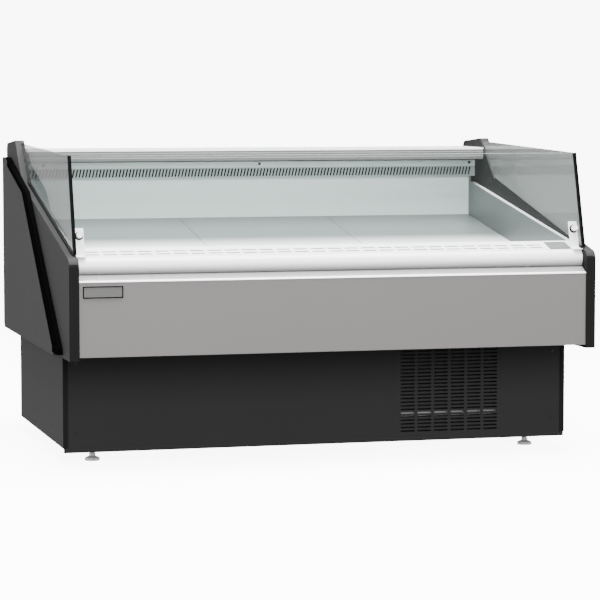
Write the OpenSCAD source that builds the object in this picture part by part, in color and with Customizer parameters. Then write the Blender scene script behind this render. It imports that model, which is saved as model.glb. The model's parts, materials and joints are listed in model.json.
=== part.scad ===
// Refrigerated deli case: a low self-serve display with a sloping deck behind a leaning front glass,
// an insulated tank with the evaporator under the deck, and a condensing unit in the base.
// x runs across the case, y from the front to the back and z up from the floor. The origin is on
// the floor under the middle of the case. Profiles are given as (y, z) points.

/* [Case] */
// Distance between the outer faces of the two end frames
frames_w = 1600; // [1580:10:1640]
// Depth over the end frames and side panels
depth = 1176; // [1170:2:1190]
// Thickness of an end frame
end_frame_t = 29; // [26:1:32]
// How far a side panel stands out from its end frame
side_panel_t = 14; // [8:1:18]
// Thickness of the sheet metal
sheet = 2; // [1.5:0.5:2]

/* [Glass] */
// Thickness of the panes
glass_t = 6; // [5:0.5:6]
// Height of the front pane along its slope
front_glass_l = 299; // [270:1:310]
// Width of the black seal at each end of the front pane
seal_w = 10; // [6:1:10]

/* [Display] */
// Slots in each row of the front air grille
lip_slots = 27; // [20:1:27]
// Slots in the air discharge grille
discharge_slots = 138; // [100:2:138]
// Grey end cover of the front air grille, across the case
end_cover_w = 67; // [56:1:67]

/* [Base] */
// Height of the bottom of the kick plate
kick_z = 34; // [30:1:38]
// Radius of a foot pad
foot_r = 22.5; // [18:0.5:26]
// Columns of slots in the kick grille
grille_cols = 6; // [4:1:6]
// Rows of slots in the kick grille
grille_rows = 24; // [18:1:24]

/* [Fans] */
// Radius of an evaporator fan
evaporator_fan_r = 72; // [60:1:73]
// Radius of the condenser fan
condenser_fan_r = 105; // [90:1:108]
// Blades on each fan
blades = 5; // [3:1:7]

/* [Hidden] */
$fn = 48;
clear = 0.3;
fit = 0.2;
// Gap left between the plates of one folded or welded piece
weld = 0.3;

// Main planes
half = frames_w / 2;
frame_in = half - end_frame_t;
inner = frame_in - fit;
panel_out = half + side_panel_t;
front = -depth / 2;
back = depth / 2;

// End frame outline
frame_bottom = 327;
nose_r = 28;
slope = 12.77;
slope_start = [front + nose_r * (1 - sin(slope)), 594 + nose_r * cos(slope)];
post_foot = [back - 327, 807];
post_top = [back - 182, 940];
post_corner_r = 22;
frame_outline = concat(
    [[front, frame_bottom]], arc([front + nose_r, 594], nose_r, 180, 90 + slope, 10),
    [post_foot, post_top], arc([back - 2 - post_corner_r, 907], post_corner_r, 80, 0, 6),
    [[back - 2, frame_bottom + 7], [back - 9, frame_bottom]]
);

// Side panel and the strip along its front edge
panel_bottom = 326;
strip_bottom = 336;
panel_top = 883;
panel_corner = [back - 368, 807];
panel_front_y = front + 203;

// Front glass and the plane that the clamps and seals share
glass_foot = [front + 38, 631];
glass_lean = 16.46;
glass_start = -6;
glass_x = frame_in + 4;
clamp_x = 743;
clamp_y = 25;
clamp_t = 3;
clamp_h = 84;
knob_x = 757;
knob_z = 61;
knob_r = 9;
knob_stem_r = 3;

// Front lip, from the nose to the top of the deck
lip_front = [front + 49, 622];
lip_back = [front + 129, 644];
lip_angle = atan2(lip_back[1] - lip_front[1], lip_back[0] - lip_front[0]);
lip_len = norm(lip_back - lip_front);
lip_slot = [41, 8];
lip_slot_pitch = 52.1;
lip_first = -740;
lip_rows = [18.5, 42.5];
lip_sheet = 1;
end_cover_x = 675;

// Front panel
panel_face = front + 4;
panel_z = [337, 555];

// Tank
liner_half = 755;
tank_floor = 397;
tank_front = front + 45;
tank_back = back - 68;
liner_top = 609.8;
wall_y = back - 112;
wall_top = 814;
flange_back = [back - 114, 795];
header_z = [814, 846, 870];
side_screw = [back - 299, 806];
header_y = back - 130;
rail_y = back - 217;
top_z = 910;

// Deck
deck_front = [lip_back[0] + 2.5, 532.4];
deck_back = [wall_y - 2.5, 681.8];
deck_slope = (deck_back[1] - deck_front[1]) / (deck_back[0] - deck_front[0]);
pan_count = 3;
pan_pitch = 2 * liner_half / pan_count;
support_drop = 5.9;

// Evaporator and its fans
coil_half = 600;
coil_y = [60, 260];
coil_z = [402, 550];
fan_x = 370;
fan_z = 482;
fan_plate_y = 18;
line_x = 690;
line_y = [140, 180];

// Base
base_half = 784;
kick_y = front + 216;
base_back = back - 157;
pan_z = 40;
pan_t = 2.5;
pan_half = 765.7;
pan_y = [kick_y + 6.3, base_back - 5.3];
foot_x = 683;
foot_y = [front + 294, base_back - 85];
stem_r = 6;
grille_x = 256;
grille_z = 62;
grille_pitch = [53, 11.1];
grille_slot = [43.5, 5];

// Condensing unit
unit_x = 410;
unit_z = 46;
condenser_z = 182;
condenser_y = [kick_y + 20, kick_y + 60];
shroud_y = [condenser_y[1] + 1, condenser_y[1] + 31];
compressor_y = -30;

// Rear services
drain = [-200, -100];
drain_r = 13;
gland = [-400, 90];
switch_x = -560;
switch_z = 200;

function arc(c, r, from, to, n) =
    [for (i = [0:n]) c + r * [cos(from + (to - from) * i / n), sin(from + (to - from) * i / n)]];
function slope_z(y) = slope_start[1] + (y - slope_start[0]) * tan(slope);
function flange_z(y) = lip_back[1] + (y - lip_back[0]) * (flange_back[1] - lip_back[1]) / (flange_back[0] - lip_back[0]);
function deck_z(y) = deck_front[1] + (y - deck_front[0]) * deck_slope;
// Outline of a row of fins, seen from above
function comb(x1, x2, y1, y2, pitch, groove) = let (n = floor((x2 - x1) / pitch)) concat(
    [for (i = [0:n - 1], p = [[0, 0], [0.5, 0], [0.5, 1], [1, 1]])
        [x1 + (i + p[0]) * (x2 - x1) / n, y1 + p[1] * groove]],
    [for (i = [n - 1:-1:0], p = [[1, 1], [0.5, 1], [0.5, 0], [0, 0]])
        [x1 + (i + p[0]) * (x2 - x1) / n, y2 - p[1] * groove]]
);

// A profile of (y, z) points extended from x1 to x2
module slab(x1, x2, points) translate([x1, 0, 0]) rotate([90, 0, 90]) linear_extrude(x2 - x1) polygon(points);
module box(x, y, z) translate([x[0], y[0], z[0]]) cube([x[1] - x[0], y[1] - y[0], z[1] - z[0]]);
module rod_y(x, z, y1, y2, r) translate([x, y1, z]) rotate([-90, 0, 0]) cylinder(h = y2 - y1, r = r);
module rod_z(x, y, z1, z2, r) translate([x, y, z1]) cylinder(h = z2 - z1, r = r);
module rod_x(y, z, x1, x2, r) translate([x1, y, z]) rotate([0, 90, 0]) cylinder(h = x2 - x1, r = r);
module on_left() mirror([1, 0, 0]) children();
module both_sides() for (side = [0, 1]) mirror([side, 0, 0]) children();
// Frame of the front glass: x across, y through the pane to the back, z up the pane
module on_glass() translate([0, glass_foot[0], glass_foot[1]]) rotate([-glass_lean, 0, 0]) children();
// Frame of the front lip: x across, y up its slope, z out of the sheet
module on_lip() translate([0, lip_front[0], lip_front[1]]) rotate([lip_angle, 0, 0]) children();
// Straight runs of tube with a brazed elbow, a little thicker than the tube, at each corner
module pipe(points, r) for (i = [0:len(points) - 2]) {
    run = points[i + 1] - points[i];
    translate(points[i]) rotate([0, acos(run[2] / norm(run)), atan2(run[1], run[0])])
        cylinder(h = norm(run), r = r);
    if (i > 0) translate(points[i]) sphere(r = 1.4 * r);
}
// A fan that turns about z, from z = 0 up
module fan(r, hub_r, h, bore_r) difference() {
    union() {
        cylinder(h = h, r = hub_r);
        for (i = [0:blades - 1]) rotate([0, 0, i * 360 / blades]) translate([0, 0, h / 2]) rotate([26, 0, 0])
            translate([0, 0, -0.8]) linear_extrude(1.6)
                polygon(concat([[hub_r * 0.8, -hub_r * 0.35], [r * 0.8, -r * 0.3]], arc([r * 0.62, 0], r * 0.34, -20, 60, 5),
                    [[r * 0.6, r * 0.34], [hub_r * 0.8, hub_r * 0.4]]));
    }
    translate([0, 0, -1]) cylinder(h = h * 0.8, r = bore_r);
}

// ---------- shell ----------
module side_panel() color("#595959") slab(half, panel_out, [
    [back, 341], [back - 15, panel_bottom], [panel_front_y, panel_bottom], [panel_front_y, strip_bottom],
    panel_corner, [back - 58, panel_top], [back - 7, panel_top], [back, panel_top - 7]
]);
module edge_trim() color("#262626") slab(half, panel_out, [
    [panel_front_y - fit, strip_bottom], panel_corner + [-fit, fit], [back - 58 - fit, panel_top],
    [back - 97, panel_top], [back - 480, 786], [front + 117, 354], [front + 113, strip_bottom]
]);
module end_frame() color("#575757") difference() {
    slab(frame_in, half, frame_outline);
    slab(glass_x - 0.5, glass_x + glass_t + 0.5, [
        [glass_foot[0] + 0.5, 619], [post_foot[0] + 6.5, 801], [post_foot[0] + 141, 929],
        [post_foot[0] + 141, 930.6], [post_foot[0] + 129, 930.6], [post_foot[0], 1000], [glass_foot[0] + 0.5, 1000]
    ]);
}
module end_glass() color([0.65, 0.72, 0.7, 0.4]) slab(glass_x, glass_x + glass_t, [
    [glass_foot[0] + 3.5, 620.6], [post_foot[0] + 6, 802.4], [post_foot[0] + 140, 930], [glass_foot[0] + 90, 911]
]);
module front_glass() color([0.65, 0.72, 0.7, 0.4]) on_glass()
    translate([-frame_in + 0.5, 0, glass_start]) cube([2 * frame_in - 1, glass_t, front_glass_l]);
module glass_edge_seals() color("#141414") both_sides() on_glass()
    translate([frame_in, 0, 0]) cube([seal_w, glass_t, front_glass_l + glass_start]);
// Upright behind the pane, with a shelf along the lip that carries the pane's lower edge
module glass_clamps() color("#f0f0f0") both_sides() on_glass() difference() {
    slab(clamp_x, frame_in - 0.5, [
        [-3.5, -9], [6.4, -9], [14, -4.6], [clamp_y + clamp_t, 4.2], [clamp_y + clamp_t, clamp_h],
        [clamp_y, clamp_h], [clamp_y, 5.4], [13, -2], [6.4, -6.4], [-3.5, -6.4]
    ]);
    translate([knob_x, clamp_y - 1, knob_z]) rotate([-90, 0, 0]) cylinder(h = clamp_t + 2, r = knob_stem_r + clear);
}
// Knob whose face bears on the back of the pane, with its stem through the upright
module clamp_knob() color("#f4f4f4") on_glass() translate([knob_x, glass_t + 0.4, knob_z]) rotate([-90, 0, 0]) {
    cylinder(h = 2, r1 = knob_r - 1.5, r2 = knob_r);
    translate([0, 0, 2]) cylinder(h = 10, r = knob_r);
    translate([0, 0, 12]) cylinder(h = 10, r = knob_stem_r);
}
module front_panel() color("#9c9894") {
    box([-inner, inner], [panel_face, panel_face + sheet], panel_z);
    box([-inner, inner], [panel_face + sheet + weld, panel_face + 9], [panel_z[1] - sheet, panel_z[1]]);
    box([-inner, inner], [panel_face + sheet + weld, kick_y - 1], [panel_z[0], panel_z[0] + sheet]);
}
module badge_plate() color("#a8a8a6") difference() {
    box([-760, -643], [panel_face - 2.5, panel_face], [508, 542]);
    box([-757, -646], [panel_face - 3, panel_face - 1.7], [511, 539]);
}
module nose_bumper() color("#f0f0f0") slab(-inner, inner, concat(
    [[panel_face, panel_z[1] + fit], [front + 36, 572.6], [front + 39, 574.5]],
    arc([front + 61, 594], 29, 205, 125, 8), [lip_front, [lip_front[0], liner_top + fit],
        [tank_front - sheet - fit, liner_top + fit], [tank_front - sheet - fit, panel_z[1] + fit]]
));
module front_air_grille() color("#f2f2f2") {
    on_lip() translate([0, 0, -lip_sheet]) linear_extrude(lip_sheet) difference() {
        translate([-inner, 0.5]) square([2 * inner, lip_len - 0.5]);
        for (i = [0:lip_slots - 1], v = lip_rows) translate([lip_first + i * lip_slot_pitch, v]) square(lip_slot);
    }
    slab(-liner_half + fit, liner_half - fit, [
        [lip_back[0] - sheet, 534], [lip_back[0] - sheet, lip_back[1] - sheet], [lip_back[0], lip_back[1] - 1], [lip_back[0], 534]
    ]);
}
module grille_end_cover() color("#8c8c8c") on_lip() difference() {
    translate([end_cover_x, 5, 0]) cube([end_cover_w, 62, 2.5]);
    translate([end_cover_x + 8, 14, 1.7]) cube([end_cover_w - 16, 44, 2]);
}

// ---------- tank ----------
module liner_floor() color("#c8cccc") difference() {
    box([-liner_half, liner_half], [tank_front, tank_back], [tank_floor - sheet, tank_floor]);
    rod_z(drain[0], drain[1], tank_floor - 5, tank_floor + 5, drain_r + fit);
    for (y = line_y) rod_z(line_x, y, tank_floor - 5, tank_floor + 5, 9);
}
module liner_front() color("#c8cccc") box([-liner_half, liner_half], [tank_front - sheet, tank_front], [tank_floor - sheet, liner_top]);
module liner_rear() color("#c8cccc") box([-liner_half, liner_half], [tank_back, tank_back + sheet], [tank_floor - sheet, header_z[2]]);
module liner_end() color("#828a88") {
    flange_front = [lip_back[0] + 1, lip_back[1] - 0.4];
    flange_end = [header_y - 2, flange_z(header_y - 2)];
    slab(liner_half, liner_half + sheet, [
        [tank_front - sheet, tank_floor - sheet], [tank_front - sheet, liner_top], [lip_front[0] + 0.4, liner_top],
        lip_front + [0.4, -2.4], lip_back + [0.4, -2.4], flange_front - [0, 1], flange_end - [0, 1],
        [header_y - 2, 811], [tank_back + sheet, 811], [tank_back + sheet, tank_floor - sheet]
    ]);
    slab(liner_half, inner, [flange_front, flange_end, flange_end - [0, 2.4], flange_front - [0, 2.4]]);
}
module rear_wall_panel() color("#b9c4c2") box([-liner_half + fit, liner_half - fit], [wall_y, wall_y + sheet], [640, wall_top - 2.4]);
module discharge_grille() color("#9aa3a1") {
    translate([0, header_y + sheet, 0]) rotate([90, 0, 0]) linear_extrude(sheet) difference() {
        translate([-inner, header_z[0] - 2]) square([2 * inner, header_z[1] - header_z[0] + 2 - fit]);
        for (i = [0:discharge_slots - 1]) translate([-762 + i * 11, header_z[0] + 3])
            polygon([[0, 0], [5.5, 0], [11.5, 26], [6, 26]]);
    }
    box([-inner, inner], [header_y + sheet, wall_y + sheet], [header_z[0] - 2, header_z[0]]);
}
module fascia() color("#c4cac8") box([-inner, inner], [header_y, header_y + sheet], [header_z[1], header_z[2]]);
module header_rail() color("#a8a6a5") slab(-inner, inner, [
    [rail_y, 871], [rail_y, 905], [rail_y + sheet, 905], [rail_y + sheet, 873], [header_y + sheet, 873], [header_y + sheet, 871]
]);
module header_top() color("#f4f4f4") slab(-inner, inner, [
    [rail_y - 2, 903], [rail_y - 2, top_z], [back - 4, top_z], [back - 4, 880], [back - 6, 880],
    [back - 6, top_z - 2], [rail_y, top_z - 2], [rail_y, 903]
]);
module rear_panel() color("#4a4a4a") box([-inner, inner], [back - 4, back - 2], [frame_bottom + 2, 906]);
module tank_base() color("#8a8a8a") difference() {
    box([-inner, inner], [kick_y + 3, back - 4.2], [337, 339]);
    rod_z(drain[0], drain[1], 330, 345, drain_r + fit);
    for (y = line_y) rod_z(line_x, y, 330, 345, 9);
}
module insulation() color("#e8dba0") difference() {
    union() {
        box([-inner + 1, inner - 1], [tank_front - sheet, tank_back + sheet], [339.2, tank_floor - sheet - fit]);
        box([-inner + 1, inner - 1], [panel_face + 2.2, tank_front - sheet - fit], [339.2, 552]);
        box([-inner + 1, inner - 1], [tank_back + sheet + fit, back - 6.2], [339.2, 868]);
    }
    rod_z(drain[0], drain[1], 330, 400, drain_r + fit);
    for (y = line_y) rod_z(line_x, y, 330, 400, 9);
}
module screws() color("#303030") {
    for (x = [-700, 20, 750]) rod_y(x, 858, header_y - 2, header_y, 5);
    both_sides() rod_x(side_screw[0], side_screw[1], frame_in - 2, frame_in, 5);
    both_sides() for (z = [90, 300]) rod_y(744, z, kick_y - 1.5, kick_y, 5);
}

// ---------- deck ----------
module deck_pan(i) color("#dfe4e4") slab(-liner_half + i * pan_pitch + 1, -liner_half + (i + 1) * pan_pitch - 1, [
    deck_front - [0, 15], deck_front, deck_back, deck_back - [0, 10], deck_back - [sheet, 10],
    deck_back - [sheet, sheet + 0.3], deck_front + [sheet, -sheet + 0.3], deck_front + [sheet, -15]
]);
module deck_supports() color("#b8bcbc") {
    top = [[deck_front[0] + 6, deck_z(deck_front[0] + 6) - 2.6], [deck_back[0] - 6, deck_z(deck_back[0] - 6) - 2.6]];
    bar = concat(top, [top[1] - [0, 3], top[0] - [0, 3]]);
    both_sides() slab(liner_half - 22, liner_half, bar);
    both_sides() slab(pan_pitch / 2 - 18, pan_pitch / 2 + 18, bar);
    both_sides() for (y = [-380, -60]) slab(pan_pitch / 2 - 2, pan_pitch / 2 + 2, [
        [y, tank_floor], [y, deck_z(y) - support_drop], [y + 30, deck_z(y + 30) - support_drop], [y + 30, tank_floor]
    ]);
}

// ---------- evaporator ----------
module evaporator_coil() color("#c0c2c2") {
    translate([0, 0, coil_z[0]]) linear_extrude(coil_z[1] - coil_z[0])
        polygon(comb(-coil_half, coil_half, coil_y[0], coil_y[1], 12, 14));
    both_sides() box([coil_half, coil_half + 2], [coil_y[0] - 5, coil_y[1] + 5], [tank_floor, coil_z[1] + 5]);
    both_sides() for (y = [90, 150, 210], z = [430, 490]) translate([coil_half + 2, y, z]) rotate([90, 0, 90])
        rotate_extrude(angle = 180) translate([18, 0]) circle(r = 5, $fn = 24);
}
module fan_plate() color("#b8bcbc") difference() {
    box([-liner_half + fit, liner_half - fit], [fan_plate_y, fan_plate_y + sheet], [tank_floor, 574]);
    for (s = [-1, 1]) rod_y(s * fan_x, fan_z, fan_plate_y - 5, fan_plate_y + 5, 77);
}
module evaporator_motors() color("#2c2c30") for (s = [-1, 1]) {
    rod_y(s * fan_x, fan_z, -60, -14, 30);
    rod_y(s * fan_x, fan_z, -14, 14, 4);
    for (a = [30, 150, 270]) translate([s * fan_x, -14, fan_z]) rotate([0, a, 0]) {
        translate([26, -4, -5]) cube([62, 4, 10]);
        translate([84, 0, 0]) rotate([-90, 0, 0]) cylinder(h = fan_plate_y + 14, r = 4);
    }
}
module evaporator_fan(s) color("#d8d8d8") translate([s * fan_x, -2, fan_z]) rotate([-90, 0, 0])
    fan(evaporator_fan_r, 22, 26, 4 + clear);
module drain_pipe() color("#d8d8d8") difference() {
    union() {
        rod_z(drain[0], drain[1], kick_z + 2, tank_floor + 1, drain_r);
        rod_z(drain[0], drain[1], tank_floor, tank_floor + 2, 24);
    }
    rod_z(drain[0], drain[1], kick_z, tank_floor + 5, drain_r - 2);
}

// ---------- base ----------
module base_pan() color("#303030") difference() {
    union() {
        box([-pan_half, pan_half], pan_y, [pan_z, pan_z + pan_t]);
        for (y = [pan_y[0] - weld - sheet, pan_y[1] + weld])
            box([-pan_half, pan_half], [y, y + sheet], [pan_z, pan_z + 18]);
        both_sides() box([pan_half + weld, pan_half + weld + sheet], pan_y, [pan_z, pan_z + 18]);
        both_sides() for (y = [pan_y[0], pan_y[1] - 30])
            box([pan_half - 30, pan_half], [y, y + 30], [pan_z + pan_t + weld, 336.8]);
        for (s = [-1, 1], y = foot_y) rod_z(s * foot_x, y, pan_z + pan_t + weld, pan_z + 40, 13);
    }
    for (s = [-1, 1], y = foot_y) rod_z(s * foot_x, y, pan_z - 5, pan_z + 45, stem_r + clear);
    rod_z(drain[0], drain[1], pan_z - 5, pan_z + 10, drain_r + fit);
}
module base_sides() color("#2c2c2c") both_sides() {
    box([base_half - sheet, base_half], [kick_y - 1.5, base_back], [48, frame_bottom - fit]);
    box([base_half - 15, base_half], [kick_y - 1.5, kick_y], [48, frame_bottom - fit]);
}
module kick_plate() color("#2c2c2c") translate([0, kick_y + sheet, 0]) rotate([90, 0, 0]) linear_extrude(sheet) difference() {
    union() {
        translate([-base_half + 2.2, kick_z]) square([2 * base_half - 4.4, frame_bottom - fit - kick_z]);
        translate([-inner, kick_z]) square([2 * inner, 336.8 - kick_z]);
    }
    for (i = [0:grille_cols - 1], j = [0:grille_rows - 1])
        translate([grille_x + i * grille_pitch[0], grille_z + j * grille_pitch[1]]) square(grille_slot);
}
module base_rear_cover() color("#2c2c2c") translate([0, base_back, 0]) rotate([90, 0, 0]) linear_extrude(sheet) difference() {
    translate([-base_half + 2.2, 48]) square([2 * base_half - 4.4, frame_bottom - fit - 48]);
    for (i = [0:7], j = [0:9]) translate([200 + i * 60, 90 + j * 22]) square([46, 8]);
    translate([switch_x - 15, switch_z - 13.5]) square([30, 27]);
    translate(gland) circle(r = 10 + fit);
}
module foot(s, y) color("#c4c4c6") translate([s * foot_x, y, 0]) {
    cylinder(h = 8, r = foot_r);
    translate([0, 0, 8]) cylinder(h = 6, r1 = foot_r, r2 = 10);
    translate([0, 0, 14]) cylinder(h = 8, r = 10, $fn = 6);
    translate([0, 0, 20]) cylinder(h = 80, r = stem_r);
}

// ---------- condensing unit ----------
module unit_tray() color("#707070") difference() {
    box([230, 600], [kick_y + 12, base_back - 20], [pan_z + 2.6, 60]);
    box([232, 598], [kick_y + 14, base_back - 22], [unit_z - 0.2, 61]);
}
module condenser_coil() color("#9a9a98") {
    translate([0, 0, unit_z]) linear_extrude(272)
        polygon(comb(unit_x - 158, unit_x + 158, condenser_y[0], condenser_y[1], 6, 8));
    for (s = [-1, 1]) box([unit_x + s * 160 - 1.5, unit_x + s * 160 + 1.5], condenser_y, [unit_z, 318]);
}
module fan_shroud() color("#1c1c1c") difference() {
    box([unit_x - 164, unit_x + 164], shroud_y, [unit_z, 318]);
    box([unit_x - 161, unit_x + 161], [shroud_y[0] - 1, shroud_y[1] - 3], [unit_z + 3, 315]);
    rod_y(unit_x, condenser_z, shroud_y[0] - 5, shroud_y[1] + 5, 112);
}
module condenser_fan() color("#c8c8c8") translate([unit_x, shroud_y[1] - 20, condenser_z]) rotate([-90, 0, 0])
    mirror([0, 0, 1]) translate([0, 0, -24]) fan(condenser_fan_r, 28, 24, 5 + clear);
module condenser_motor() color("#303034") {
    rod_y(unit_x, condenser_z, shroud_y[1] + 16, shroud_y[1] + 88, 42);
    rod_y(unit_x, condenser_z, shroud_y[1] - 8, shroud_y[1] + 16, 5);
    box([unit_x - 14, unit_x + 14], [shroud_y[1] + 36, shroud_y[1] + 66], [unit_z, condenser_z - 38]);
    box([unit_x - 50, unit_x + 50], [shroud_y[1] + 30, shroud_y[1] + 74], [unit_z, unit_z + 4]);
}
module compressor() color("#181818") {
    translate([unit_x, compressor_y, unit_z + 16]) rotate_extrude()
        polygon(concat([[0, 0], [80, 0], [86, 8], [86, 110]], [for (a = [10:10:90]) [86 * cos(a), 110 + 40 * sin(a)]]));
    box([unit_x - 105, unit_x + 105], [compressor_y - 105, compressor_y + 105], [unit_z + 12, unit_z + 16]);
    for (sx = [-1, 1], sy = [-1, 1]) rod_z(unit_x + sx * 90, compressor_y + sy * 90, unit_z, unit_z + 12, 14);
}
module refrigerant_lines() color("#b87348") {
    pipe([[unit_x + 40, compressor_y, 208.4], [unit_x + 40, compressor_y, 290], [585, compressor_y, 290],
        [585, condenser_y[1] - 20, 290], [unit_x + 162.2, condenser_y[1] - 20, 290]], 4);
    pipe([[unit_x + 162.2, condenser_y[1] - 20, 90], [620, condenser_y[1] - 20, 90], [620, line_y[0], 90],
        [line_x, line_y[0], 90], [line_x, line_y[0], 430], [coil_half + 26, line_y[0], 430]], 4);
    pipe([[unit_x - 20, compressor_y + 40, 207.8], [unit_x - 20, compressor_y + 40, 270], [unit_x - 20, line_y[1], 270],
        [line_x, line_y[1], 270], [line_x, line_y[1], 530], [coil_half + 2.2, line_y[1], 530]], 6);
}
module electrical_box() color("#8c8c8c") {
    difference() {
        box([-660, -470], [base_back - 110, base_back - 12], [60, 178]);
        box([-658, -472], [base_back - 108, base_back - 14], [62, 179]);
    }
    box([-662, -468], [base_back - 112, base_back - 10], [178, 181]);
    for (x = [-640, -510]) box([x, x + 20], [base_back - 80, base_back - 40], [pan_z + 2.5, 60]);
}
module rocker_switch() color("#b02020") {
    slab(switch_x - 14, switch_x + 14, [
        [base_back - 8, switch_z - 10], [base_back + 1, switch_z - 11], [base_back + 3, switch_z],
        [base_back + 1, switch_z + 11], [base_back - 8, switch_z + 10]
    ]);
    rod_x(base_back - 3, switch_z, switch_x - 14.6, switch_x + 14.6, 1.5);
}
module cable_gland() color("#141414") difference() {
    union() {
        rod_y(gland[0], gland[1], base_back - 22, base_back + 4, 10);
        rod_y(gland[0], gland[1], base_back, base_back + 8, 16);
        rod_y(gland[0], gland[1], base_back + 8, base_back + 24, 10);
    }
    rod_y(gland[0], gland[1], base_back - 30, base_back + 30, 5);
}

on_left() side_panel();  // side_panel_left
side_panel();  // side_panel_right
on_left() end_frame();  // end_frame_left
end_frame();  // end_frame_right
on_left() edge_trim();  // edge_trim_left
edge_trim();  // edge_trim_right
base_pan();
base_sides();
kick_plate();
base_rear_cover();
foot(-1, foot_y[0]);  // foot_1
foot(1, foot_y[0]);  // foot_2
foot(-1, foot_y[1]);  // foot_3
foot(1, foot_y[1]);  // foot_4
front_panel();
badge_plate();
nose_bumper();
front_air_grille();
grille_end_cover();
on_left() end_glass();  // end_glass_left
end_glass();  // end_glass_right
front_glass();
glass_edge_seals();
glass_clamps();
on_left() clamp_knob();  // clamp_knob_left
clamp_knob();  // clamp_knob_right
liner_floor();
liner_front();
liner_rear();
on_left() liner_end();  // liner_end_left
liner_end();  // liner_end_right
rear_wall_panel();
discharge_grille();
fascia();
header_rail();
header_top();
rear_panel();
tank_base();
insulation();
screws();
deck_pan(0);  // deck_pan_1
deck_pan(1);  // deck_pan_2
deck_pan(2);  // deck_pan_3
deck_supports();
evaporator_coil();
fan_plate();
evaporator_motors();
evaporator_fan(-1);  // evaporator_fan_1
evaporator_fan(1);  // evaporator_fan_2
drain_pipe();
unit_tray();
compressor();
condenser_coil();
fan_shroud();
condenser_fan();
condenser_motor();
refrigerant_lines();
electrical_box();
rocker_switch();
cable_gland();
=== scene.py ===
"""Looks of a refrigerated deli case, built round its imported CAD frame."""

import json
import logging
import math
from dataclasses import dataclass, field
from enum import Enum
from typing import Callable, Iterable, Union

import bpy
from mathutils import Matrix, Vector


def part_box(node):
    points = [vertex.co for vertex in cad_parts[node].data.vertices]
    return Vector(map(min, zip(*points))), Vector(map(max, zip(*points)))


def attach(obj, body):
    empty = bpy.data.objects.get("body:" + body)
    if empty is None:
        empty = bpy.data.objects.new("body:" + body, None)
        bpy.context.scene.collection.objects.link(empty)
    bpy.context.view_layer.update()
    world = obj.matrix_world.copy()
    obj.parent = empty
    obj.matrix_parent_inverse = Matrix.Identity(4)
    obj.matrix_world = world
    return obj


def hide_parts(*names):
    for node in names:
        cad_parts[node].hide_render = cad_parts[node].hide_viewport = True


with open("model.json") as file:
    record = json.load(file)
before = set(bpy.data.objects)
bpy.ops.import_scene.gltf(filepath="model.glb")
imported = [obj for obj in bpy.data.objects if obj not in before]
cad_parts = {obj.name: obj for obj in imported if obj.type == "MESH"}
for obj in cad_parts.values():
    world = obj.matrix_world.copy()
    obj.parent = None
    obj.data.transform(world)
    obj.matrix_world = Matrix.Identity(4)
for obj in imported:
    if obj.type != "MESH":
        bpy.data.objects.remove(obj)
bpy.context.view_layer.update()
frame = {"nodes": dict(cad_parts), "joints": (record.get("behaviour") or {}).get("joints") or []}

log = logging.getLogger("deli_case")

Colour = tuple[float, float, float]
Number = Union[float, "Value"]


# ---------------------------------------------------------------- shader maths


class Value:
    """A number that varies over a surface: one output socket, with arithmetic."""

    def __init__(self, sheet: "Sheet", socket: bpy.types.NodeSocket) -> None:
        """Keeps the material sheet and the socket that gives the number."""
        self.sheet = sheet
        self.socket = socket

    def _maths(self, operation: str, first: Number, second: Number = 0.0) -> "Value":
        """Adds one Math node.

        Args:
            operation: the Math node's operation.
            first: its first number.
            second: its second number.

        Returns:
            The node's result.
        """
        made = self.sheet.node("ShaderNodeMath", {"operation": operation}, {0: first, 1: second})
        return Value(self.sheet, made.outputs[0])

    def __add__(self, other: Number) -> "Value":
        """This number plus another."""
        return self._maths("ADD", self, other)

    def __sub__(self, other: Number) -> "Value":
        """This number minus another."""
        return self._maths("SUBTRACT", self, other)

    def __rsub__(self, other: Number) -> "Value":
        """Another number minus this one."""
        return self._maths("SUBTRACT", other, self)

    def __mul__(self, other: Number) -> "Value":
        """This number times another."""
        return self._maths("MULTIPLY", self, other)

    __radd__ = __add__
    __rmul__ = __mul__

    def step(self, low: float, high: float) -> "Value":
        """0 below low, 1 above high and smooth between them."""
        made = self.sheet.node(
            "ShaderNodeMapRange",
            {"interpolation_type": "SMOOTHSTEP"},
            {"Value": self, "From Min": low, "From Max": high},
        )
        return Value(self.sheet, made.outputs["Result"])

    def size(self) -> "Value":
        """The number without its sign."""
        return self._maths("ABSOLUTE", self)


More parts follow.
